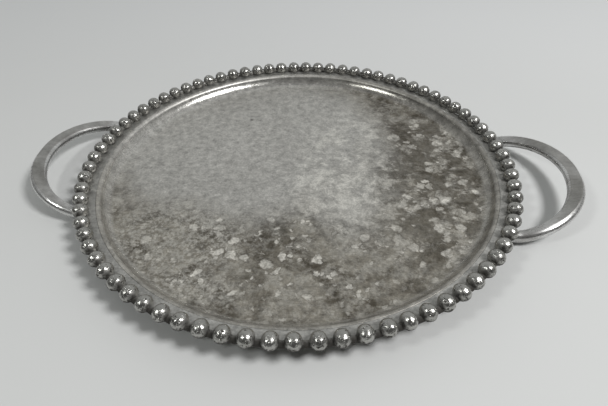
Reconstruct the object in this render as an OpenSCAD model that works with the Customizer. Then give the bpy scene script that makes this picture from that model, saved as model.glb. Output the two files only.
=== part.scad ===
// Round salver with a beaded border and two loop handles.
// The tray lies flat on the table at z = 0, its middle on the z axis, its handles along x.

/* [Tray] */
// Diameter of the circle through the middles of the beads
bead_circle_d = 340; // [320:5:380]
// Height of the flat rim above the table
rim_height = 14.8; // [13.6:0.2:17]
// Thickness of the floor and of the curved wall
floor_t = 5; // [4:0.5:6]
// Distance from the bead circle in to the lip of the dish
rim_inset = 10; // [9:0.5:12]
// Width of the curved wall, from the lip in to the flat floor
cove_run = 15; // [13:0.5:18]
// Radius of the rounded lip
lip_round = 3.5; // [2.5:0.25:4]
// Thickness of the flange that the rim band lies on
flange_t = 1.4; // [1:0.1:1.6]
// Width of that flange, out from the lip
flange_w = 6; // [4:0.5:6.5]

/* [Rim band] */
// Thickness of the flat band
band_t = 1.8; // [1.4:0.1:2]
// Gap of the soldered seam between the lip and the band
seam_gap = 0.3; // [0.2:0.05:0.6]
// Distance from the bead circle in to the outer edge of the band
band_edge_inset = 2; // [2:0.25:3]

/* [Beads] */
// Number of beads round the border
bead_count = 79; // [72:1:84]
// Diameter of one bead
bead_d = 11.2; // [10:0.1:11.8]
// Height of a bead's middle above the flat rim
bead_lift = 3.7; // [3.7:0.1:4.2]
// Angle from the x axis to the first bead
bead_turn = 1.2; // [0:0.1:4]
// Beads in one run of the border
run_beads = 4; // [3:1:6]
// Diameter of the neck that joins a bead to the next
neck_d = 4.8; // [4:0.2:4.8]
// Depth of the neck's middle below the beads' middles
neck_drop = 2.3; // [2:0.1:2.3]

/* [Handles] */
// Mean reach from the tray's middle to the middle of a grip
handle_reach = 214; // [210:1:228]
// How much farther out the right handle sits than the mean, and the left one in
handle_offset = 2; // [0:0.5:3]
// Angle by which both handles sit round towards the near side
handle_turn = 1.9; // [0:0.1:4]
// Span between the middles of a handle's two ends
handle_span = 116; // [90:1:122]
// Height of the grip's flat top
grip_height = 22.4; // [19:0.2:28]
// Height of the flat top where the bar meets the dish
root_height = 9.4; // [9:0.1:10.2]
// Width of the bar at the grip
grip_w = 12.4; // [11:0.2:14]
// Width of the flat top at the grip
grip_flat_w = 7.8; // [7:0.2:9.8]
// Depth of the bar at the grip
grip_depth = 7.4; // [6:0.2:8]
// Width of the bar at its ends
root_w = 9; // [8:0.2:10]
// Width of the flat top at the bar's ends
root_flat_w = 4.8; // [4:0.2:7]
// Depth of the bar at its ends
root_depth = 8.2; // [7:0.2:8.4]
// Inward lean of the flat top at the bar's ends, in degrees
root_lean = 26; // [0:1:28]

/* [Hidden] */
$fn = 96;

bead_r = bead_d / 2;
ring_r = bead_circle_d / 2;
bead_z = rim_height + bead_lift;
lip_r = ring_r - rim_inset;
floor_r = lip_r - cove_run;

// The wall is an S of two arcs, each level where it meets the floor and the rim
cove_turn = 2 * atan((rim_height - floor_t) / cove_run);
cove_round = cove_run / sin(cove_turn) - lip_round;
wall_round = cove_round + floor_t;
lip_z = rim_height - lip_round;
flange_top = rim_height - band_t;
flange_z = flange_top - flange_t;

// Angle by which the floor and the flange lap into the curved wall, so that all are one solid
wall_lap = 12;

// Side view of the wall's outer face at a height z
function wall_r(z) = floor_r + sqrt(pow(wall_round, 2) - pow(wall_round - z, 2));

run_count = ceil(bead_count / run_beads);
bead_step = 360 / bead_count;

// The loop of a handle is half an oval, with a straight tail at each end that runs in to the dish
loop_start = ring_r - 5.4;
loop_depth = handle_reach - loop_start;
tail_start = floor_r - 9;
tail_steps = 3;
loop_steps = 44;

// The loop lies level at its ends, bends up over this share of its depth, then climbs to the grip
rise_bend = 0.1;
rise_power = 0.8;

// Number of sides across the bar's flat top and round its belly
top_sides = 3;
belly_sides = 16;

function run_name(i) = str("bead_run_", i < 10 ? "0" : "", i);

// A pie slice of a circle about the origin, between two angles less than 120 degrees apart
module pie(r, from, to) {
    intersection() {
        circle(r);
        polygon([[0, 0], 2.5 * r * [cos(from), sin(from)], 2.5 * r * [cos(to), sin(to)]]);
    }
}

// A point of the wall's section, at an angle up the cove and a distance from the cove's centre
function wall_point(turn, r) = [floor_r + r * sin(turn), wall_round - r * cos(turn)];

// Half sections of the dish's floor, curved wall, rounded lip and flange, each lapping into the next
module floor_section() {
    polygon([
        [0, 0],
        [floor_r, 0],
        wall_point(wall_lap, cove_round + floor_t / 2),
        [floor_r, floor_t],
        [0, floor_t]
    ]);
}

module wall_section() {
    translate([floor_r, wall_round])
        difference() {
            pie(wall_round, -90, cove_turn - 90);
            circle(cove_round);
        }
}

module lip_section() {
    translate([lip_r, lip_z])
        pie(lip_round, 90, 90 + cove_turn);
}

module flange_section() {
    polygon([
        [lip_r, rim_height],
        [lip_r, flange_top],
        [lip_r + flange_w, flange_top],
        [lip_r + flange_w, flange_z],
        [wall_r(flange_z), flange_z],
        wall_point(cove_turn, wall_round),
        wall_point(cove_turn - wall_lap, cove_round + floor_t / 2),
        wall_point(cove_turn, cove_round)
    ]);
}

// Everything inside the dish's outer face, used to cut the handles' ends to fit it
module dish_outside() {
    rotate_extrude() {
        translate([0, -1])
            square([floor_r, rim_height]);
        intersection() {
            translate([floor_r, wall_round])
                circle(wall_round);
            translate([floor_r, 0])
                square([wall_round, flange_z]);
        }
    }
}

module bead_at(i) {
    rotate([0, 0, bead_turn + i * bead_step])
        translate([ring_r, 0, bead_z])
            sphere(bead_r);
}

module dish() {
    color("darkgray") {
        rotate_extrude() floor_section();
        rotate_extrude() wall_section();
        rotate_extrude() lip_section();
        rotate_extrude() flange_section();
    }
}

module rim_band() {
    color("gray")
        difference() {
            rotate_extrude()
                translate([lip_r + seam_gap, flange_top])
                    square([rim_inset - seam_gap - band_edge_inset, band_t]);
            for (i = [0 : bead_count - 1])
                bead_at(i);
        }
}

// One run of the border, cast as a strip: beads on a neck that ends half way to the next run's first bead
module bead_run(run) {
    first = (run - 1) * run_beads;
    last = min(run * run_beads, bead_count) - 1;
    color("silver") {
        for (i = [first : last])
            bead_at(i);
        rotate([0, 0, bead_turn + (first - 0.5) * bead_step])
            rotate_extrude(angle = (last - first + 1) * bead_step)
                translate([ring_r, bead_z - neck_drop])
                    circle(neck_d / 2);
    }
}

function mix(a, b, s) = a + (b - a) * s;
function unit(v) = v / norm(v);

// How far the bar has climbed, from 0 to 1, at a share s of the loop's depth
function rise(s) = pow((norm([s, rise_bend]) - rise_bend) / (norm([1, rise_bend]) - rise_bend), rise_power);

// A point of the bar's top line: the tails run straight in, the loop rises towards the grip
function loop_point(t) =
    let (s = max(0, cos(t)))
    [loop_start + loop_depth * s, handle_span / 2 * sin(t), mix(root_height, grip_height, rise(s))];

tail_points = [for (i = [0 : tail_steps - 1])
    [mix(tail_start, loop_start, i / tail_steps), -handle_span / 2, root_height]];
bar_points = concat(
    tail_points,
    [for (i = [0 : loop_steps]) loop_point(-90 + 180 * i / loop_steps)],
    [for (i = [tail_steps - 1 : -1 : 0]) [tail_points[i][0], handle_span / 2, root_height]]
);

// How near a point of the bar is to the grip, from 0 at the ends to 1
function grip_share(p) = min(1, max(0, (p[0] - loop_start) / loop_depth));

// Outline of the bar across its length: a flat top over a rounded belly, x outwards and y up
function bar_outline(w, flat_w, depth) =
    let (
        start = acos(flat_w / w),
        belly = depth / (1 + sin(start)),
        middle = -belly * sin(start)
    )
    concat(
        [for (i = [0 : belly_sides]) let (a = start - (180 + 2 * start) * i / belly_sides)
            [w / 2 * cos(a), middle + belly * sin(a)]],
        [for (i = [1 : top_sides - 1]) [mix(-flat_w / 2, flat_w / 2, i / top_sides), 0]]
    );

// The outline set square to the bar at point i of its top line
function bar_ring(i) =
    let (
        p = bar_points[i],
        before = bar_points[max(0, i - 1)],
        after = bar_points[min(len(bar_points) - 1, i + 1)],
        along = unit(after - before),
        out = unit(cross(along, [0, 0, 1])),
        up = cross(out, along),
        share = grip_share(p),
        lean = root_lean * sqrt(1 - share * share),
        side = out * cos(lean) + up * sin(lean),
        top = up * cos(lean) - out * sin(lean)
    )
    [for (q = bar_outline(mix(root_w, grip_w, share), mix(root_flat_w, grip_flat_w, share),
        mix(root_depth, grip_depth, share))) p + side * q[0] + top * q[1]];

// The whole bar of a handle, with its ends left long
module handle_bar() {
    rings = [for (i = [0 : len(bar_points) - 1]) bar_ring(i)];
    around = len(rings[0]);
    last = len(rings) - 1;
    points = [for (ring = rings) each ring];
    sides = [for (i = [0 : last - 1], j = [0 : around - 1])
        let (k = (j + 1) % around, a = i * around, b = a + around)
        [a + j, a + k, b + k, b + j]];
    caps = [
        [for (j = [around - 1 : -1 : 0]) j],
        [for (j = [0 : around - 1]) last * around + j]
    ];
    polyhedron(points, concat(sides, caps));
}

module right_handle() {
    color("lightgray")
        difference() {
            rotate([0, 0, -handle_turn])
                translate([handle_offset, 0, 0])
                    handle_bar();
            dish_outside();
        }
}

module left_handle() {
    color("lightgray")
        difference() {
            rotate([0, 0, 180 + handle_turn])
                translate([-handle_offset, 0, 0])
                    handle_bar();
            dish_outside();
        }
}

dish();
rim_band();
left_handle();
right_handle();
for (i = [1 : run_count])
    bead_run(i);
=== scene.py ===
import math
import random

import bpy
from mathutils import Matrix


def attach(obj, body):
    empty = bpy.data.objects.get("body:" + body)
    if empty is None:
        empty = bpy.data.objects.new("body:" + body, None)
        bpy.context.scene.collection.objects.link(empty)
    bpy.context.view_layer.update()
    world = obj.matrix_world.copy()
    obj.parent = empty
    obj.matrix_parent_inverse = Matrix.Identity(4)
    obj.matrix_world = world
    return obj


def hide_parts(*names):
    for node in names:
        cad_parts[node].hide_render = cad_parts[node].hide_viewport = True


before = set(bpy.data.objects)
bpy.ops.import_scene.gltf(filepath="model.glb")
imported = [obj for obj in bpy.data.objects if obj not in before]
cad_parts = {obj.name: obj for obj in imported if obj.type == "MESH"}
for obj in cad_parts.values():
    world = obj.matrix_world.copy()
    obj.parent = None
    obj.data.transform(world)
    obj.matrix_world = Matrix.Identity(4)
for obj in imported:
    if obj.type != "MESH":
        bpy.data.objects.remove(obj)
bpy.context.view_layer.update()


# ---- Camera ----
# A close look down on the tray from its near side, a little left of the line square to the handles.
# The lens is slightly wide and level but for a small roll.
bpy.ops.object.camera_add()
camera = bpy.context.object
camera.name = "camera"
camera.data.sensor_width = 36.0
camera.data.lens = 27.16
swing = Matrix.Rotation(math.radians(5.24), 4, "Z")
stand = Matrix.Translation((0.00463, -0.30722, 0.24387))
look_down = Matrix.Rotation(math.radians(48.21), 4, "X")
roll = Matrix.Rotation(math.radians(-0.688), 4, "Z")
camera.matrix_world = swing @ stand @ look_down @ roll
bpy.context.scene.camera = camera


# ---- Light ----
# Plain soft studio light: a pale room, brighter beyond the tray than behind the camera, a soft key lamp
# high on the right, and a weaker one on the left. Each shows as a highlight in every bead.
bpy.context.scene.view_settings.view_transform = "Standard"
room = bpy.data.worlds.new("pale_room")
bpy.context.scene.world = room
room.use_nodes = True
outlook = room.node_tree.nodes.new("ShaderNodeTexCoord")
towards = room.node_tree.nodes.new("ShaderNodeVectorMath")
towards.operation = "DOT_PRODUCT"
towards.inputs[1].default_value = (0.05, 0.75, 0.35)
room.node_tree.links.new(outlook.outputs["Generated"], towards.inputs[0])
walls = room.node_tree.nodes.new("ShaderNodeValToRGB")
walls.color_ramp.elements[0].position = 0.0
walls.color_ramp.elements[0].color = (0.11, 0.11, 0.108, 1.0)
walls.color_ramp.elements[1].position = 0.66
walls.color_ramp.elements[1].color = (0.58, 0.59, 0.585, 1.0)
room.node_tree.links.new(towards.outputs["Value"], walls.inputs["Fac"])
room.node_tree.links.new(walls.outputs["Color"], room.node_tree.nodes["Background"].inputs["Color"])
room.node_tree.nodes["Background"].inputs["Strength"].default_value = 0.86


def hang_lamp(name, place, width, power, tint):
    bpy.ops.object.light_add(type="AREA", location=place)
    lamp = bpy.context.object
    lamp.name = name
    lamp.data.shape = "DISK"
    lamp.data.size = width
    lamp.data.energy = power
    lamp.data.color = tint
    aim = -lamp.location
    lamp.rotation_euler = aim.to_track_quat("-Z", "Y").to_euler()
    return lamp


hang_lamp("key_lamp", (1.08, -0.38, 1.48), 0.48, 25.0, (1.0, 1.0, 1.0))
hang_lamp("fill_lamp", (-0.95, -0.62, 1.20), 0.28, 5.2, (0.98, 1.0, 0.98))


# ---- Table ----
# A plain pale board that the tray lies on, painted matt, with the faint unevenness of a rolled coat.
def place_node(tree, kind, name, options={}, feeds={}):
    node = tree.nodes.new(kind)
    node.name = name
    node.label = name.replace("_", " ")
    for key, value in options.items():
        setattr(node, key, value)
    for socket, source in feeds.items():
        if isinstance(source, bpy.types.NodeSocket):
            tree.links.new(source, node.inputs[socket])
        else:
            node.inputs[socket].default_value = source
    return node


def calc(tree, operation, first, second=0.0, clamp=False):
    options = {"operation": operation, "use_clamp": clamp}
    node = place_node(tree, "ShaderNodeMath", operation.lower(), options, {0: first, 1: second})
    return node.outputs[0]


def ease(tree, value, low, high):
    """0 below low and 1 above high, with a smooth step between; low above high turns it round."""
    node = place_node(tree, "ShaderNodeMapRange", "ease", {"interpolation_type": "SMOOTHSTEP"},
                      {"Value": value, "From Min": low, "From Max": high})
    return node.outputs["Result"]


def tint(tree, share, base, over):
    """The base colour with the over colour laid on it by share."""
    node = place_node(tree, "ShaderNodeMix", "tint", {"data_type": "RGBA"}, {0: share, 6: base, 7: over})
    return node.outputs[2]


def slide(tree, share, start, end):
    """A number that goes from start to end as share goes from 0 to 1."""
    node = place_node(tree, "ShaderNodeMapRange", "slide", {},
                      {"Value": share, "To Min": start, "To Max": end})
    return node.outputs["Result"]


def cloud(tree, where, scale, detail=4.0, rough=0.55):
    """Soft noise; scale is in lumps per metre."""
    node = place_node(tree, "ShaderNodeTexNoise", "cloud", {},
                      {"Vector": where, "Scale": scale, "Detail": detail, "Roughness": rough})
    return node.outputs["Fac"]


def new_finish(name):
    finish = bpy.data.materials.new(name)
    finish.use_nodes = True
    return finish


bpy.ops.object.select_all(action="DESELECT")
bpy.ops.mesh.primitive_plane_add(size=6.0, location=(0.0, 0.0, -0.0002))
table = bpy.context.object
table.name = "table"
table_paint = new_finish("table_paint")
tree = table_paint.node_tree
where = place_node(tree, "ShaderNodeTexCoord", "place").outputs["Object"]
mottle = cloud(tree, where, 3.0)
paint = tint(tree, mottle, (0.575, 0.583, 0.575, 1.0), (0.615, 0.62, 0.615, 1.0))
axes = place_node(tree, "ShaderNodeSeparateXYZ", "axes", {}, {0: where})
# The far side of the board is painted lighter: painted light standing for the brighter room beyond the tray.
painted_far_light = ease(tree, axes.outputs["Y"], 0.05, 0.50)
paint = tint(tree, calc(tree, "MULTIPLY", painted_far_light, 0.8), paint, (0.68, 0.69, 0.695, 1.0))
shader = tree.nodes["Principled BSDF"]
tree.links.new(paint, shader.inputs["Base Color"])
shader.inputs["Roughness"].default_value = 0.75
grain = place_node(tree, "ShaderNodeBump", "paint_grain", {},
                   {"Height": cloud(tree, where, 900.0), "Distance": 0.0002, "Strength": 0.15})
tree.links.new(grain.outputs["Normal"], shader.inputs["Normal"])
table.data.materials.append(table_paint)


# ---- Dish ----
# One piece of spun metal: a flat floor, a curved wall, a rounded lip and a thin flange outside the lip.
# Its floor is worn: clean satin at the far left, brown tarnish near and right, and pale etched spots in it.
ring_sides = 240
floor_edge = 0.145
lip_edge = 0.160
rim_top = 0.0148
lip_bend = 0.0035
cove_bend = 0.01287
wall_bend = 0.01787
cove_sweep = math.radians(66.3)
band_floor = 0.013
flange_under = 0.0116
flange_edge = 0.166


def start_ring(name, radius, height):
    bpy.ops.object.select_all(action="DESELECT")
    bpy.ops.mesh.primitive_circle_add(vertices=ring_sides, radius=radius, location=(0.0, 0.0, 0.0))
    piece = bpy.context.object
    piece.name = name
    bpy.ops.object.mode_set(mode="EDIT")
    bpy.ops.mesh.select_mode(type="VERT")
    bpy.ops.mesh.select_all(action="SELECT")
    bpy.ops.transform.translate(value=(0.0, 0.0, height))
    return piece


def turn_profile(name, points):
    """Turns a side view, a list of (radius, height), into a round piece, one extruded ring at a time."""
    piece = start_ring(name, points[0][0], points[0][1])
    for before, after in zip(points, points[1:]):
        bpy.ops.mesh.extrude_region_move(TRANSFORM_OT_translate={"value": (0.0, 0.0, after[1] - before[1])})
        wider = after[0] / before[0]
        bpy.ops.transform.resize(value=(wider, wider, 1.0), center_override=(0.0, 0.0, 0.0))
    return piece


def close_middle(rings):
    """Fills the open middles left above and below, with inset rings towards a pole in each."""
    bpy.ops.mesh.select_all(action="SELECT")
    bpy.ops.mesh.fill_holes(sides=0)
    bpy.ops.mesh.select_all(action="DESELECT")
    bpy.ops.mesh.select_mode(type="FACE")
    bpy.ops.mesh.select_face_by_sides(number=ring_sides, type="EQUAL")
    for step in rings:
        bpy.ops.mesh.inset(thickness=step)
    bpy.ops.mesh.poke()


def finish_piece(piece, crease=35.0):
    bpy.ops.object.mode_set(mode="EDIT")
    bpy.ops.mesh.select_all(action="SELECT")
    bpy.ops.mesh.remove_doubles(threshold=0.00001)
    bpy.ops.mesh.normals_make_consistent(inside=False)
    bpy.ops.object.mode_set(mode="OBJECT")
    bpy.ops.object.select_all(action="DESELECT")
    piece.select_set(True)
    bpy.context.view_layer.objects.active = piece
    bpy.ops.object.transform_apply(location=True, rotation=True, scale=True)
    bpy.ops.object.shade_smooth_by_angle(angle=math.radians(crease))


def soften_edges(piece, width, segments=2, angle=40.0):
    softener = piece.modifiers.new("soft_edges", "BEVEL")
    softener.width = width
    softener.segments = segments
    softener.limit_method = "ANGLE"
    softener.angle_limit = math.radians(angle)
    bpy.ops.object.select_all(action="DESELECT")
    piece.select_set(True)
    bpy.context.view_layer.objects.active = piece
    bpy.ops.object.modifier_apply(modifier=softener.name)


inside = []
for step in range(15):
    turn = cove_sweep * step / 14
    inside.append((floor_edge + cove_bend * math.sin(turn), wall_bend - cove_bend * math.cos(turn)))
for step in range(1, 9):
    turn = cove_sweep * (1 - step / 8)
    inside.append((lip_edge - lip_bend * math.sin(turn), rim_top - lip_bend + lip_bend * math.cos(turn)))
flange = [(lip_edge, band_floor), (flange_edge, band_floor), (flange_edge, flange_under)]
outside = []
wall_sweep = math.acos(1 - flange_under / wall_bend)
for step in range(13):
    turn = wall_sweep * (1 - step / 12)
    outside.append((floor_edge + wall_bend * math.sin(turn), wall_bend * (1 - math.cos(turn))))

dish = turn_profile("dish_body", inside + flange + outside)
close_middle((0.012, 0.025, 0.035, 0.035, 0.025))
finish_piece(dish)
soften_edges(dish, 0.0002, 2, 60.0)


def new_group(name, inputs, outputs):
    """An empty node group with named number, vector and colour sockets."""
    group = bpy.data.node_groups.new(name, "ShaderNodeTree")
    kinds = {"value": "NodeSocketFloat", "vector": "NodeSocketVector", "colour": "NodeSocketColor"}
    for label, kind, value in inputs:
        socket = group.interface.new_socket(name=label, in_out="INPUT", socket_type=kinds[kind])
        socket.default_value = value
    for label, kind in outputs:
        group.interface.new_socket(name=label, in_out="OUTPUT", socket_type=kinds[kind])
    start = group.nodes.new("NodeGroupInput")
    end = group.nodes.new("NodeGroupOutput")
    return group, start.outputs, end.inputs


def use_group(tree, group, name, feeds):
    node = place_node(tree, "ShaderNodeGroup", name, {"node_tree": group})
    for socket, source in feeds.items():
        if isinstance(source, bpy.types.NodeSocket):
            tree.links.new(source, node.inputs[socket])
        else:
            node.inputs[socket].default_value = source
    return node.outputs


# Wandering place: the same place pushed about by noise, so that patches and spots get ragged edges
wander, given, result = new_group(
    "wandering_place",
    [("Place", "vector", (0, 0, 0)), ("Reach", "value", 0.004), ("Lumps", "value", 90.0)],
    [("Place", "vector")],
)
swirl = place_node(wander, "ShaderNodeTexNoise", "swirl", {},
                   {"Vector": given["Place"], "Scale": given["Lumps"], "Detail": 3.0})
push = place_node(wander, "ShaderNodeVectorMath", "middle", {"operation": "SUBTRACT"},
                  {0: swirl.outputs["Color"], 1: (0.5, 0.5, 0.5)})
scaled = place_node(wander, "ShaderNodeVectorMath", "reach", {"operation": "SCALE"},
                    {0: push.outputs[0], "Scale": given["Reach"]})
moved = place_node(wander, "ShaderNodeVectorMath", "moved", {"operation": "ADD"},
                   {0: given["Place"], 1: scaled.outputs[0]})
wander.links.new(moved.outputs[0], result["Place"])

# Patch: 1 inside an oval about a centre, fading to 0 over its soft edge
patch, given, result = new_group(
    "soft_patch",
    [("Place", "vector", (0, 0, 0)), ("Centre", "vector", (0, 0, 0)), ("Size", "vector", (0.05, 0.05, 1.0)),
     ("Soft", "value", 0.3)],
    [("Mask", "value")],
)
offset = place_node(patch, "ShaderNodeVectorMath", "offset", {"operation": "SUBTRACT"},
                    {0: given["Place"], 1: given["Centre"]})
share = place_node(patch, "ShaderNodeVectorMath", "share", {"operation": "DIVIDE"},
                   {0: offset.outputs[0], 1: given["Size"]})
reach = place_node(patch, "ShaderNodeVectorMath", "reach", {"operation": "LENGTH"}, {0: share.outputs[0]})
outer = calc(patch, "ADD", 1.0, given["Soft"])
inner = calc(patch, "SUBTRACT", 1.0, given["Soft"])
patch.links.new(ease(patch, reach.outputs["Value"], outer, inner), result["Mask"])

# Etched spots: pale islands of uneven size left in the tarnish, each with a darker outline
spots, given, result = new_group(
    "etched_spots",
    [("Place", "vector", (0, 0, 0)), ("Lumps", "value", 80.0), ("Amount", "value", 0.5)],
    [("Spot", "value"), ("Outline", "value"), ("Pick", "value")],
)
cells = place_node(spots, "ShaderNodeTexVoronoi", "cells", {},
                   {"Vector": given["Place"], "Scale": given["Lumps"], "Randomness": 1.0})
parts = place_node(spots, "ShaderNodeSeparateColor", "parts", {}, {0: cells.outputs["Color"]})
keep = ease(spots, parts.outputs[1], calc(spots, "SUBTRACT", 1.02, given["Amount"]),
            calc(spots, "SUBTRACT", 1.07, given["Amount"]))
size = slide(spots, parts.outputs[0], 0.16, 0.42)
gap = calc(spots, "SUBTRACT", cells.outputs["Distance"], size)
spot = ease(spots, gap, 0.05, -0.09)
outline = calc(spots, "MULTIPLY", ease(spots, gap, 0.13, 0.05), ease(spots, gap, -0.02, 0.04))
spots.links.new(calc(spots, "MULTIPLY", spot, keep), result["Spot"])
spots.links.new(calc(spots, "MULTIPLY", outline, keep), result["Outline"])
spots.links.new(parts.outputs[2], result["Pick"])

# Satin wear: fine speckle and short rubbed scratches, as one tone and one height
satin, given, result = new_group(
    "satin_wear",
    [("Place", "vector", (0, 0, 0)), ("Speckle", "value", 0.5), ("Rubbing", "value", 0.5)],
    [("Tone", "value"), ("Height", "value")],
)
speckle = calc(satin, "SUBTRACT", cloud(satin, given["Place"], 700.0, 3.0, 0.7), 0.5)
blotch = calc(satin, "SUBTRACT", cloud(satin, given["Place"], 160.0, 5.0, 0.65), 0.5)
lay = place_node(satin, "ShaderNodeMapping", "rub_direction", {},
                 {"Vector": given["Place"], "Rotation": (0, 0, 0.6), "Scale": (90, 900, 400)})
rub = calc(satin, "SUBTRACT", cloud(satin, lay.outputs[0], 1.0, 3.0, 0.6), 0.5)
lay_2 = place_node(satin, "ShaderNodeMapping", "second_rub", {},
                   {"Vector": given["Place"], "Rotation": (0, 0, -0.5), "Scale": (80, 1000, 400)})
rub_2 = calc(satin, "SUBTRACT", cloud(satin, lay_2.outputs[0], 1.0, 3.0, 0.6), 0.5)
rubs = calc(satin, "MULTIPLY", calc(satin, "ADD", rub, rub_2), given["Rubbing"])
specks = calc(satin, "MULTIPLY", calc(satin, "ADD", speckle, blotch), given["Speckle"])
satin.links.new(calc(satin, "ADD", rubs, specks), result["Tone"])
grit = calc(satin, "MULTIPLY", speckle, given["Speckle"])
satin.links.new(calc(satin, "ADD", rubs, grit), result["Height"])

dish_finish = new_finish("tarnished_dish")
tree = dish_finish.node_tree
where = place_node(tree, "ShaderNodeTexCoord", "place").outputs["Object"]
ragged = use_group(tree, wander, "ragged_edges", {"Place": where, "Reach": 0.045, "Lumps": 22.0})["Place"]
ragged = use_group(tree, wander, "finer_edges", {"Place": ragged, "Reach": 0.012, "Lumps": 110.0})["Place"]
nibbled = use_group(tree, wander, "nibbled_spots",
                    {"Place": where, "Reach": 0.009, "Lumps": 120.0})["Place"]
nibbled = use_group(tree, wander, "frayed_spots",
                    {"Place": nibbled, "Reach": 0.004, "Lumps": 420.0})["Place"]

clean = use_group(tree, patch, "clean_satin",
                  {"Place": ragged, "Centre": (-0.055, 0.060, 0.0), "Size": (0.125, 0.118, 1.0),
                   "Soft": 0.22})[0]
worn = use_group(tree, patch, "worn_middle",
                 {"Place": ragged, "Centre": (0.042, 0.010, 0.0), "Size": (0.040, 0.078, 1.0),
                  "Soft": 0.40})[0]
frosted = use_group(tree, patch, "frosted_left",
                    {"Place": ragged, "Centre": (-0.085, -0.085, 0.0), "Size": (0.052, 0.040, 1.0),
                     "Soft": 0.5})[0]
near_frost = use_group(tree, patch, "frosted_near",
                       {"Place": ragged, "Centre": (-0.062, -0.128, 0.0), "Size": (0.036, 0.013, 1.0),
                        "Soft": 0.5})[0]
ring_field = use_group(tree, patch, "ring_field",
                       {"Place": ragged, "Centre": (-0.010, -0.085, 0.0), "Size": (0.095, 0.055, 1.0),
                        "Soft": 0.4})[0]
right_field = use_group(tree, patch, "right_field",
                        {"Place": ragged, "Centre": (0.115, -0.005, 0.0), "Size": (0.050, 0.095, 1.0),
                         "Soft": 0.4})[0]
height = place_node(tree, "ShaderNodeSeparateXYZ", "height", {}, {0: where}).outputs["Z"]
on_floor = ease(tree, height, 0.0075, 0.0056)
on_lip = ease(tree, height, 0.0120, 0.0140)
clear = calc(tree, "MAXIMUM", clean, calc(tree, "MULTIPLY", worn, 0.85))
tarnish = calc(tree, "MULTIPLY", calc(tree, "SUBTRACT", 1.0, clear), slide(tree, on_floor, 0.55, 1.0))

wear = use_group(tree, satin, "satin", {"Place": where, "Speckle": 1.1, "Rubbing": 0.25})
smoke = ease(tree, cloud(tree, ragged, 30.0, 6.0, 0.62), 0.38, 0.62)
brown = tint(tree, smoke, (0.080, 0.069, 0.052, 1.0), (0.270, 0.252, 0.214, 1.0))
mottle = ease(tree, cloud(tree, where, 120.0, 7.0, 0.72), 0.42, 0.62)
brown = tint(tree, calc(tree, "MULTIPLY", mottle, 0.60), brown, (0.43, 0.415, 0.375, 1.0))
cleanness = cloud(tree, where, 14.0, 4.0, 0.5)
silver = tint(tree, cleanness, (0.420, 0.410, 0.385, 1.0), (0.560, 0.550, 0.522, 1.0))
colour = tint(tree, tarnish, silver, brown)
pale_cloud = calc(tree, "MULTIPLY", worn, ease(tree, cloud(tree, ragged, 60.0, 6.0, 0.7), 0.42, 0.62))
colour = tint(tree, calc(tree, "MULTIPLY", pale_cloud, 0.75), colour, (0.70, 0.685, 0.635, 1.0))
bloom = ease(tree, cloud(tree, nibbled, 45.0, 7.0, 0.68), 0.47, 0.60)
deep = calc(tree, "MULTIPLY", right_field, on_floor)
deep = calc(tree, "MULTIPLY", deep, calc(tree, "SUBTRACT", 1.0, bloom))
colour = tint(tree, calc(tree, "MULTIPLY", deep, 0.58), colour, (0.070, 0.060, 0.044, 1.0))
frost = calc(tree, "MULTIPLY", calc(tree, "MAXIMUM", frosted, near_frost),
             ease(tree, cloud(tree, where, 330.0, 4.0, 0.75), 0.44, 0.60))
colour = tint(tree, calc(tree, "MULTIPLY", frost, 0.55), colour, (0.56, 0.545, 0.50, 1.0))

large = use_group(tree, spots, "large_spots", {"Place": nibbled, "Lumps": 88.0, "Amount": 0.72})
small = use_group(tree, spots, "small_spots", {"Place": nibbled, "Lumps": 175.0, "Amount": 0.70})
islands = use_group(tree, spots, "islands", {"Place": ragged, "Lumps": 46.0, "Amount": 0.45})
spotted = calc(tree, "MAXIMUM", ring_field, right_field)
scatter = calc(tree, "MULTIPLY", tarnish, slide(tree, spotted, 0.35, 1.0))
small_field = calc(tree, "MULTIPLY", scatter, ease(tree, cloud(tree, where, 45.0), 0.40, 0.56))
pale = calc(tree, "MAXIMUM", calc(tree, "MULTIPLY", large["Spot"], scatter),
            calc(tree, "MULTIPLY", small["Spot"], small_field))
bloom = calc(tree, "MULTIPLY", bloom, right_field)
etched = calc(tree, "MULTIPLY", islands["Spot"], right_field)
pale = calc(tree, "MAXIMUM", pale, calc(tree, "MAXIMUM", calc(tree, "MULTIPLY", bloom, 0.5), etched))
pale = calc(tree, "MULTIPLY", pale, on_floor)
rims = calc(tree, "MAXIMUM", calc(tree, "MULTIPLY", large["Outline"], scatter),
            calc(tree, "MULTIPLY", small["Outline"], small_field))
rims = calc(tree, "MULTIPLY", rims, on_floor)
colour = tint(tree, calc(tree, "MULTIPLY", rims, 0.45), colour, (0.120, 0.106, 0.088, 1.0))
chalky = calc(tree, "MULTIPLY", pale, ease(tree, cloud(tree, where, 260.0, 5.0, 0.75), 0.26, 0.56))
colour = tint(tree, calc(tree, "MULTIPLY", chalky, slide(tree, large["Pick"], 0.45, 1.0)), colour,
              (0.72, 0.70, 0.645, 1.0))
stain = use_group(tree, patch, "dark_spot",
                  {"Place": where, "Centre": (-0.053, 0.079, 0.0), "Size": (0.0016, 0.0016, 1.0),
                   "Soft": 0.5})[0]
colour = tint(tree, calc(tree, "MULTIPLY", stain, 0.7), colour, (0.05, 0.045, 0.04, 1.0))
toned = place_node(tree, "ShaderNodeHueSaturation", "speckled_tone", {},
                   {"Color": colour,
                    "Value": slide(tree, calc(tree, "ADD", wear["Tone"], 0.5), 0.40, 1.60)})
shader = tree.nodes["Principled BSDF"]
tree.links.new(toned.outputs[0], shader.inputs["Base Color"])
tree.links.new(slide(tree, tarnish, 0.80, 0.66), shader.inputs["Metallic"])
gloss = slide(tree, on_floor, 0.23, 0.45)
gloss = calc(tree, "ADD", gloss, calc(tree, "MULTIPLY", on_lip, 0.24))
gloss = calc(tree, "ADD", gloss, calc(tree, "MULTIPLY", pale, 0.12))
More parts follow.
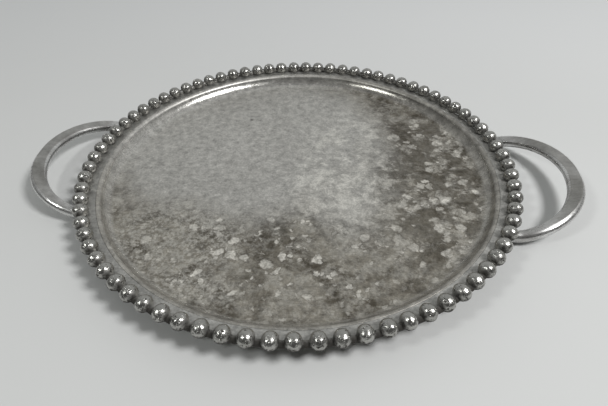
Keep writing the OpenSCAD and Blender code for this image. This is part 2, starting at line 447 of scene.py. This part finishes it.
gloss = calc(tree, "ADD", gloss, calc(tree, "MULTIPLY", wear["Tone"], 0.12))
tree.links.new(gloss, shader.inputs["Roughness"])
dents = calc(tree, "MULTIPLY", cloud(tree, where, 24.0, 2.0), 4.0)
relief = calc(tree, "ADD", wear["Height"], calc(tree, "SUBTRACT", dents, calc(tree, "MULTIPLY", pale, 0.5)))
bump = place_node(tree, "ShaderNodeBump", "etched_relief", {},
                  {"Height": relief, "Distance": 0.00012, "Strength": 0.6})
tree.links.new(bump.outputs["Normal"], shader.inputs["Normal"])

dish.data.materials.append(dish_finish)
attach(dish, "root")
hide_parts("dish")


# ---- Beaded border ----
# 79 balls cast in strips of four on a thin neck, each ball soldered in its own seat on the band's edge.
# They are polished, uneven from casting and pitted dark; low down on each ball and in the hollows and necks
# between them the dark is painted shade.
bead_count = 79
bead_radius = 0.0056
bead_circle = 0.170
bead_height = 0.0185
first_bead = math.radians(1.2)
bead_step = 2 * math.pi / bead_count
run_length = 4
neck_radius = 0.0024
neck_drop = 0.0023

# Hollows: how near a point lies to the next bead, how low and how far out on its bead it is, and how far it
# is from the nearest bead
hollows, given, result = new_group(
    "bead_hollows", [("Place", "vector", (0, 0, 0))],
    [("Between", "value"), ("Low", "value"), ("Out", "value"), ("Distance", "value")],
)
axes = place_node(hollows, "ShaderNodeSeparateXYZ", "axes", {}, {0: given["Place"]})
angle = calc(hollows, "ARCTAN2", axes.outputs["Y"], axes.outputs["X"])
count = calc(hollows, "DIVIDE", calc(hollows, "SUBTRACT", angle, first_bead), bead_step)
nearest = calc(hollows, "ROUND", count)
along = calc(hollows, "MULTIPLY", calc(hollows, "SUBTRACT", count, nearest), bead_step * bead_circle)
level = place_node(hollows, "ShaderNodeCombineXYZ", "level", {},
                   {"X": axes.outputs["X"], "Y": axes.outputs["Y"]})
radius = place_node(hollows, "ShaderNodeVectorMath", "radius", {"operation": "LENGTH"},
                    {0: level.outputs[0]})
across = calc(hollows, "SUBTRACT", radius.outputs["Value"], bead_circle)
above = calc(hollows, "SUBTRACT", axes.outputs["Z"], bead_height)
from_middle = place_node(hollows, "ShaderNodeCombineXYZ", "from_middle", {},
                         {"X": along, "Y": across, "Z": above})
far = place_node(hollows, "ShaderNodeVectorMath", "far", {"operation": "LENGTH"},
                 {0: from_middle.outputs[0]})
hollows.links.new(calc(hollows, "DIVIDE", calc(hollows, "ABSOLUTE", along), bead_radius), result["Between"])
hollows.links.new(calc(hollows, "DIVIDE", above, bead_radius), result["Low"])
hollows.links.new(calc(hollows, "DIVIDE", across, bead_radius), result["Out"])
hollows.links.new(calc(hollows, "SUBTRACT", far.outputs["Value"], bead_radius), result["Distance"])

bead_finish = new_finish("polished_beads")
tree = bead_finish.node_tree
where = place_node(tree, "ShaderNodeTexCoord", "place").outputs["Object"]
hollow = use_group(tree, hollows, "hollows", {"Place": where})
wear = use_group(tree, satin, "satin", {"Place": where, "Speckle": 0.6, "Rubbing": 0.1})
lumps = calc(tree, "SUBTRACT", cloud(tree, where, 420.0, 3.0, 0.6), 0.5)
# Painted shade: the hollows between the balls, and the necks there, are painted near black.
edge = calc(tree, "ADD", hollow["Between"], calc(tree, "MULTIPLY", lumps, 0.7))
between = ease(tree, edge, 0.55, 0.92)
# Painted shade: the lower part of each ball is painted dark.
low = ease(tree, calc(tree, "ADD", hollow["Low"], calc(tree, "MULTIPLY", lumps, 1.2)), 0.25, -0.40)
pitted_from = slide(tree, hollow["Low"], 0.47, 0.40)
pitted_to = calc(tree, "SUBTRACT", pitted_from, 0.07)
pits = ease(tree, cloud(tree, where, 560.0, 3.0, 0.6), pitted_from, pitted_to)
# The painted shade is weaker on the inner side of each ball, towards the band.
outside_half = slide(tree, ease(tree, hollow["Out"], -0.6, 0.2), 0.25, 1.0)
# One dark mask holds the painted shade and the real casting pits; it also takes the metal and gloss down.
pits_and_painted_shade = calc(tree, "MULTIPLY", calc(tree, "MAXIMUM", between, low), outside_half)
pits_and_painted_shade = calc(tree, "MAXIMUM", pits_and_painted_shade, pits)
bright = tint(tree, cloud(tree, where, 60.0), (0.34, 0.335, 0.315, 1.0), (0.54, 0.535, 0.51, 1.0))
colour = tint(tree, calc(tree, "MULTIPLY", pits_and_painted_shade, 0.95), bright, (0.032, 0.029, 0.025, 1.0))
shader = tree.nodes["Principled BSDF"]
tree.links.new(colour, shader.inputs["Base Color"])
tree.links.new(slide(tree, pits_and_painted_shade, 1.0, 0.40), shader.inputs["Metallic"])
shader.inputs["Specular IOR Level"].default_value = 0.25
gloss = calc(tree, "ADD", slide(tree, pits_and_painted_shade, 0.25, 0.70), calc(tree, "MULTIPLY", wear["Tone"], 0.10))
tree.links.new(gloss, shader.inputs["Roughness"])
relief = calc(tree, "SUBTRACT", calc(tree, "MULTIPLY", lumps, 2.0), calc(tree, "MULTIPLY", pits, 0.8))
bump = place_node(tree, "ShaderNodeBump", "cast_skin", {},
                  {"Height": relief, "Distance": 0.0003, "Strength": 0.6})
tree.links.new(bump.outputs["Normal"], shader.inputs["Normal"])

bpy.ops.object.select_all(action="DESELECT")
bpy.ops.mesh.primitive_uv_sphere_add(segments=28, ring_count=20, radius=bead_radius)
bead = bpy.context.object
bead.name = "bead"
bead.data.materials.append(bead_finish)

chance = random.Random(79)
border = []
for number in range(bead_count):
    angle = first_bead + number * bead_step + chance.uniform(-0.0018, 0.0018)
    size = chance.uniform(0.965, 0.995)
    swell = 1.0 + 0.04 * math.sin(angle)
    spot = Matrix.Rotation(angle, 4, "Z") @ Matrix.Translation((bead_circle - 0.0004, 0.0, bead_height))
    skew = Matrix.Rotation(chance.uniform(-0.15, 0.15), 4, "Z")
    copy = bead.copy()
    copy.data = bead.data.copy()
    copy.name = "border_bead_%02d" % (number + 1)
    bpy.context.scene.collection.objects.link(copy)
    copy.matrix_world = spot @ skew @ Matrix.Diagonal((1.06 * size, swell * size, 0.985 * size, 1.0))
    border.append(copy)
bpy.data.objects.remove(bead)


def cast_neck(number, members):
    """A thin bar on the border's curve, from half way before its first bead to half way past its last."""
    bpy.ops.object.select_all(action="DESELECT")
    bpy.ops.mesh.primitive_circle_add(vertices=16, radius=neck_radius, rotation=(math.pi / 2, 0.0, 0.0),
                                      location=(bead_circle, 0.0, bead_height - neck_drop))
    neck = bpy.context.object
    neck.name = "bead_row_%02d" % (number + 1)
    bpy.ops.object.transform_apply(location=True, rotation=True, scale=True)
    neck.rotation_euler = (0.0, 0.0, first_bead + (number * run_length - 0.5) * bead_step)
    bpy.ops.object.transform_apply(location=False, rotation=True, scale=False)
    bpy.ops.object.mode_set(mode="EDIT")
    bpy.ops.mesh.select_mode(type="VERT")
    bpy.ops.mesh.select_all(action="SELECT")
    bpy.ops.mesh.spin(steps=6 * members, angle=-members * bead_step,
                      center=(0.0, 0.0, 0.0), axis=(0.0, 0.0, 1.0))
    bpy.ops.mesh.select_all(action="SELECT")
    bpy.ops.mesh.fill_holes(sides=0)
    finish_piece(neck)
    neck.data.materials.append(bead_finish)
    return neck


casting = bpy.data.textures.new("casting_lumps", "CLOUDS")
casting.noise_scale = 0.004
casting.noise_depth = 1
runs = []
for number in range(math.ceil(bead_count / run_length)):
    members = border[number * run_length:(number + 1) * run_length]
    bpy.ops.object.select_all(action="DESELECT")
    for member in members:
        member.select_set(True)
    bpy.context.view_layer.objects.active = members[0]
    bpy.ops.object.join()
    balls = bpy.context.object
    bpy.ops.object.transform_apply(location=True, rotation=True, scale=True)
    run = cast_neck(number, len(members))
    fuse = run.modifiers.new("cast_in_one", "BOOLEAN")
    fuse.operation = "UNION"
    fuse.solver = "EXACT"
    fuse.object = balls
    bpy.ops.object.modifier_apply(modifier=fuse.name)
    bpy.data.objects.remove(balls)
    uneven = run.modifiers.new("uneven_casting", "DISPLACE")
    uneven.texture = casting
    uneven.texture_coords = "LOCAL"
    uneven.mid_level = 0.6
    uneven.strength = 0.0004
    bpy.ops.object.modifier_apply(modifier=uneven.name)
    bpy.ops.object.shade_smooth_by_angle(angle=math.radians(40))
    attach(run, "root")
    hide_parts("bead_run_%02d" % (number + 1))
    runs.append(run)


# ---- Rim band ----
# A flat ring laid on the flange outside the lip and soldered down, with a seat for each bead in its edge.
# It is satin grey, rubbed paler on the flat, and darkened round the beads with painted shade.
band_inner = 0.1601
band_outer = 0.168
band = turn_profile("rim_ring", [(band_inner, band_floor), (band_inner, rim_top), (band_outer, rim_top),
                                 (band_outer, band_floor), (band_inner, band_floor)])
finish_piece(band)
soften_edges(band, 0.00025, 2, 40.0)

bpy.ops.object.select_all(action="DESELECT")
for run in runs:
    run.select_set(True)
bpy.context.view_layer.objects.active = runs[0]
bpy.ops.object.duplicate()
bpy.ops.object.join()
seats = bpy.context.object
seats.name = "bead_seats"
seats.parent = None
cut = band.modifiers.new("bead_seats", "BOOLEAN")
cut.operation = "DIFFERENCE"
cut.solver = "EXACT"
cut.object = seats
bpy.ops.object.select_all(action="DESELECT")
band.select_set(True)
bpy.context.view_layer.objects.active = band
bpy.ops.object.modifier_apply(modifier=cut.name)
bpy.data.objects.remove(seats)
finish_piece(band, 30.0)

band_finish = new_finish("satin_band")
tree = band_finish.node_tree
where = place_node(tree, "ShaderNodeTexCoord", "place").outputs["Object"]
hollow = use_group(tree, hollows, "hollows", {"Place": where})
wear = use_group(tree, satin, "satin", {"Place": where, "Speckle": 0.9, "Rubbing": 0.3})
# Painted shade: the band is painted dark in a rim about a millimetre wide round each bead, where the balls
# meet it.
bead_shade_edge = calc(tree, "ADD", hollow["Distance"],
                  calc(tree, "MULTIPLY", calc(tree, "SUBTRACT", cloud(tree, where, 350.0), 0.5), 0.0012))
painted_bead_shade = ease(tree, bead_shade_edge, 0.0011, 0.0)
grey = tint(tree, cloud(tree, where, 55.0, 4.0), (0.31, 0.305, 0.29, 1.0), (0.54, 0.535, 0.51, 1.0))
colour = tint(tree, calc(tree, "MULTIPLY", painted_bead_shade, 0.65), grey, (0.060, 0.054, 0.046, 1.0))
toned = place_node(tree, "ShaderNodeHueSaturation", "speckled_tone", {},
                   {"Color": colour,
                    "Value": slide(tree, calc(tree, "ADD", wear["Tone"], 0.5), 0.35, 1.65)})
shader = tree.nodes["Principled BSDF"]
tree.links.new(toned.outputs[0], shader.inputs["Base Color"])
tree.links.new(slide(tree, painted_bead_shade, 0.95, 0.55), shader.inputs["Metallic"])
gloss = calc(tree, "ADD", slide(tree, painted_bead_shade, 0.50, 0.62), calc(tree, "MULTIPLY", wear["Tone"], 0.15))
tree.links.new(gloss, shader.inputs["Roughness"])
bump = place_node(tree, "ShaderNodeBump", "satin_relief", {},
                  {"Height": wear["Height"], "Distance": 0.00015, "Strength": 0.6})
tree.links.new(bump.outputs["Normal"], shader.inputs["Normal"])
band.data.materials.append(band_finish)
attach(band, "root")
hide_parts("rim_band")


# ---- Handles ----
# Two bars forged straight, flat on top over a rounded belly and thinner at both ends, then bent to a loop.
# Their ends run in under the beads and are cut to fit the dish's outer wall, where they are brazed.
bar_sides = 32
bar_rings = 72
tail_from = 0.136
loop_from = 0.1646
loop_reach = 0.21389
half_span = 0.058
end_height = 0.0094
grip_height = 0.0224
end_width = 0.0090
grip_width = 0.0124
end_depth = 0.0082
grip_depth = 0.0074
end_flat = 0.0048
grip_flat = 0.0078
end_lean = math.radians(26)
sharp_angle = 24.0


def bar_climb(share):
    bend = 0.1
    eased = (math.hypot(share, bend) - bend) / (math.hypot(1.0, bend) - bend)
    return eased ** 0.8


def bar_route(offset, turn):
    """Points along the bar's top, each with its share of the way out to the grip."""
    points = []
    for step in range(4):
        points.append((tail_from + (loop_from - tail_from) * step / 4, -half_span, end_height, 0.0))
    for step in range(61):
        sweep = -math.pi / 2 + math.pi * step / 60
        share = max(0.0, math.cos(sweep))
        out = loop_from + (loop_reach - loop_from) * share
        height = end_height + (grip_height - end_height) * bar_climb(share)
        points.append((out, half_span * math.sin(sweep), height, share))
    for step in range(3, -1, -1):
        points.append((tail_from + (loop_from - tail_from) * step / 4, half_span, end_height, 0.0))
    spun = []
    for x, y, height, share in points:
        x = x + offset
        turned_x = x * math.cos(turn) - y * math.sin(turn)
        turned_y = x * math.sin(turn) + y * math.cos(turn)
        spun.append((turned_x, turned_y, height, share))
    return spun


def section_at(route, run):
    """Share of the way out to the grip at a distance along the route."""
    passed = 0.0
    for before, after in zip(route, route[1:]):
        stretch = math.dist(before[:3], after[:3])
        if passed + stretch >= run:
            return before[3] + (after[3] - before[3]) * (run - passed) / stretch
        passed += stretch
    return 0.0


def forge_bar(name, route):
    """A straight bar along x, its flat top at z = 0, drawn out ring by ring to its section at each place."""
    length = sum(math.dist(a[:3], b[:3]) for a, b in zip(route, route[1:]))
    bpy.ops.object.select_all(action="DESELECT")
    bpy.ops.mesh.primitive_circle_add(vertices=bar_sides, radius=0.5,
                                      rotation=(math.pi / 2, 0.0, math.pi / 2))
    bar = bpy.context.object
    bar.name = name
    bpy.ops.object.transform_apply(location=True, rotation=True, scale=True)
    shoulder = 0.5 * math.sin(math.pi / 4)
    bpy.ops.object.mode_set(mode="EDIT")
    bpy.ops.mesh.select_mode(type="VERT")
    bpy.ops.mesh.select_all(action="DESELECT")
    bpy.ops.object.mode_set(mode="OBJECT")
    for corner in bar.data.vertices:
        corner.select = corner.co.z > shoulder + 0.001
    bpy.ops.object.mode_set(mode="EDIT")
    bpy.ops.transform.resize(value=(1.0, 1.0, 0.0), center_override=(0.0, 0.0, shoulder))
    bpy.ops.mesh.select_all(action="SELECT")
    bpy.ops.transform.translate(value=(0.0, 0.0, -shoulder))
    full_depth = 0.5 + shoulder
    bpy.ops.transform.resize(value=(1.0, end_width, end_depth / full_depth),
                             center_override=(0.0, 0.0, 0.0))
    width, depth = end_width, end_depth
    for step in range(1, bar_rings + 1):
        run = length * step / bar_rings
        share = section_at(route, run)
        next_width = end_width + (grip_width - end_width) * share
        next_depth = end_depth + (grip_depth - end_depth) * share
        bpy.ops.mesh.extrude_region_move(TRANSFORM_OT_translate={"value": (length / bar_rings, 0.0, 0.0)})
        bpy.ops.transform.resize(value=(1.0, next_width / width, next_depth / depth),
                                 center_override=(run, 0.0, 0.0))
        width, depth = next_width, next_depth
    bpy.ops.mesh.select_all(action="SELECT")
    bpy.ops.mesh.fill_holes(sides=0)
    bpy.ops.object.mode_set(mode="OBJECT")
    for corner in bar.data.vertices:
        share = section_at(route, corner.co.x)
        width = end_width + (grip_width - end_width) * share
        depth = end_depth + (grip_depth - end_depth) * share
        flat = end_flat + (grip_flat - end_flat) * share
        if corner.co.z > -0.00001:
            corner.co.y *= flat / (width * math.cos(math.pi / 4))
            continue
        angle = math.atan2(corner.co.z * full_depth / depth + shoulder, corner.co.y / width)
        down = (math.pi / 4 - angle) % (2 * math.pi) / (1.5 * math.pi)
        start = math.acos(flat / width)
        belly = depth / (1 + math.sin(start))
        angle = start - down * (math.pi + 2 * start)
        corner.co.y = width / 2 * math.cos(angle)
        corner.co.z = belly * (math.sin(angle) - math.sin(start))
    finish_piece(bar, sharp_angle)
    hammered = bar.data.attributes.new("hammered_flat", "FLOAT", "POINT")
    for corner, mark in zip(bar.data.vertices, hammered.data):
        mark.value = 1.0 if corner.co.z > -0.00001 else 0.0
    return bar


def bend_bar(bar, route):
    """Bends the straight bar along its route, its flat top leaning in at both ends."""
    former = bpy.data.curves.new("bar_route", "CURVE")
    former.dimensions = "3D"
    former.twist_mode = "Z_UP"
    line = former.splines.new("POLY")
    line.points.add(len(route) - 1)
    for point, place in zip(line.points, route):
        point.co = (place[0], place[1], place[2], 1.0)
        point.tilt = -end_lean * math.sqrt(1.0 - place[3] ** 2)
    guide = bpy.data.objects.new("bar_route", former)
    bpy.context.scene.collection.objects.link(guide)
    bender = bar.modifiers.new("bent_to_loop", "CURVE")
    bender.object = guide
    bender.deform_axis = "POS_X"
    bpy.ops.object.select_all(action="DESELECT")
    bar.select_set(True)
    bpy.context.view_layer.objects.active = bar
    bpy.ops.object.modifier_apply(modifier=bender.name)
    bpy.data.objects.remove(guide)


def fit_to_dish(bar):
    """Cuts the bar's ends away where the dish's outer wall stands."""
    below = [(0.05, -0.002), (floor_edge, -0.002), (floor_edge, 0.0)]
    plug = turn_profile("dish_plug", below + outside[-2::-1] + [(outside[0][0], 0.0118), (0.05, 0.0118)])
    bpy.ops.mesh.select_all(action="SELECT")
    bpy.ops.mesh.fill_holes(sides=0)
    finish_piece(plug)
    cutter = bar.modifiers.new("fitted_ends", "BOOLEAN")
    cutter.operation = "DIFFERENCE"
    cutter.solver = "EXACT"
    cutter.object = plug
    bpy.ops.object.select_all(action="DESELECT")
    bar.select_set(True)
    bpy.context.view_layer.objects.active = bar
    bpy.ops.object.modifier_apply(modifier=cutter.name)
    bpy.data.objects.remove(plug)


handle_finish = new_finish("rubbed_handles")
tree = handle_finish.node_tree
where = place_node(tree, "ShaderNodeTexCoord", "place").outputs["Object"]
hammered = place_node(tree, "ShaderNodeAttribute", "hammered_flat", {"attribute_name": "hammered_flat"})
rubbed_from = place_node(tree, "ShaderNodeSeparateXYZ", "height", {}, {0: where}).outputs["Z"]
flat_top = calc(tree, "MULTIPLY", ease(tree, hammered.outputs["Fac"], 0.35, 0.85),
                ease(tree, rubbed_from, 0.0125, 0.0195))
wear = use_group(tree, satin, "satin", {"Place": where, "Speckle": 0.7, "Rubbing": 0.5})
film = ease(tree, cloud(tree, where, 45.0, 4.0), 0.40, 0.66)
grey = tint(tree, film, (0.42, 0.415, 0.40, 1.0), (0.28, 0.275, 0.26, 1.0))
polish = tint(tree, film, (0.66, 0.66, 0.65, 1.0), (0.46, 0.45, 0.44, 1.0))
colour = tint(tree, flat_top, polish, grey)
toned = place_node(tree, "ShaderNodeHueSaturation", "speckled_tone", {},
                   {"Color": colour, "Value": slide(tree, calc(tree, "ADD", wear["Tone"], 0.5), 0.6, 1.4)})
shader = tree.nodes["Principled BSDF"]
tree.links.new(toned.outputs[0], shader.inputs["Base Color"])
shader.inputs["Metallic"].default_value = 0.95
gloss = calc(tree, "ADD", slide(tree, flat_top, 0.28, 0.44), calc(tree, "MULTIPLY", wear["Tone"], 0.10))
tree.links.new(gloss, shader.inputs["Roughness"])
bump = place_node(tree, "ShaderNodeBump", "hammered_relief", {},
                  {"Height": calc(tree, "ADD", wear["Height"], cloud(tree, where, 70.0, 2.0)),
                   "Distance": 0.0001, "Strength": 0.5})
tree.links.new(bump.outputs["Normal"], shader.inputs["Normal"])

for name, node, offset, turn in (
    ("handle_right", "right_handle", 0.002, math.radians(-1.9)),
    ("handle_left", "left_handle", -0.002, math.radians(181.9)),
):
    route = bar_route(offset, turn)
    bar = forge_bar(name, route)
    bend_bar(bar, route)
    fit_to_dish(bar)
    finish_piece(bar, sharp_angle)
    soften_edges(bar, 0.00035, 2, sharp_angle)
    bpy.ops.object.shade_smooth_by_angle(angle=math.radians(sharp_angle))
    bar.data.materials.append(handle_finish)
    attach(bar, "root")
    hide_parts(node)
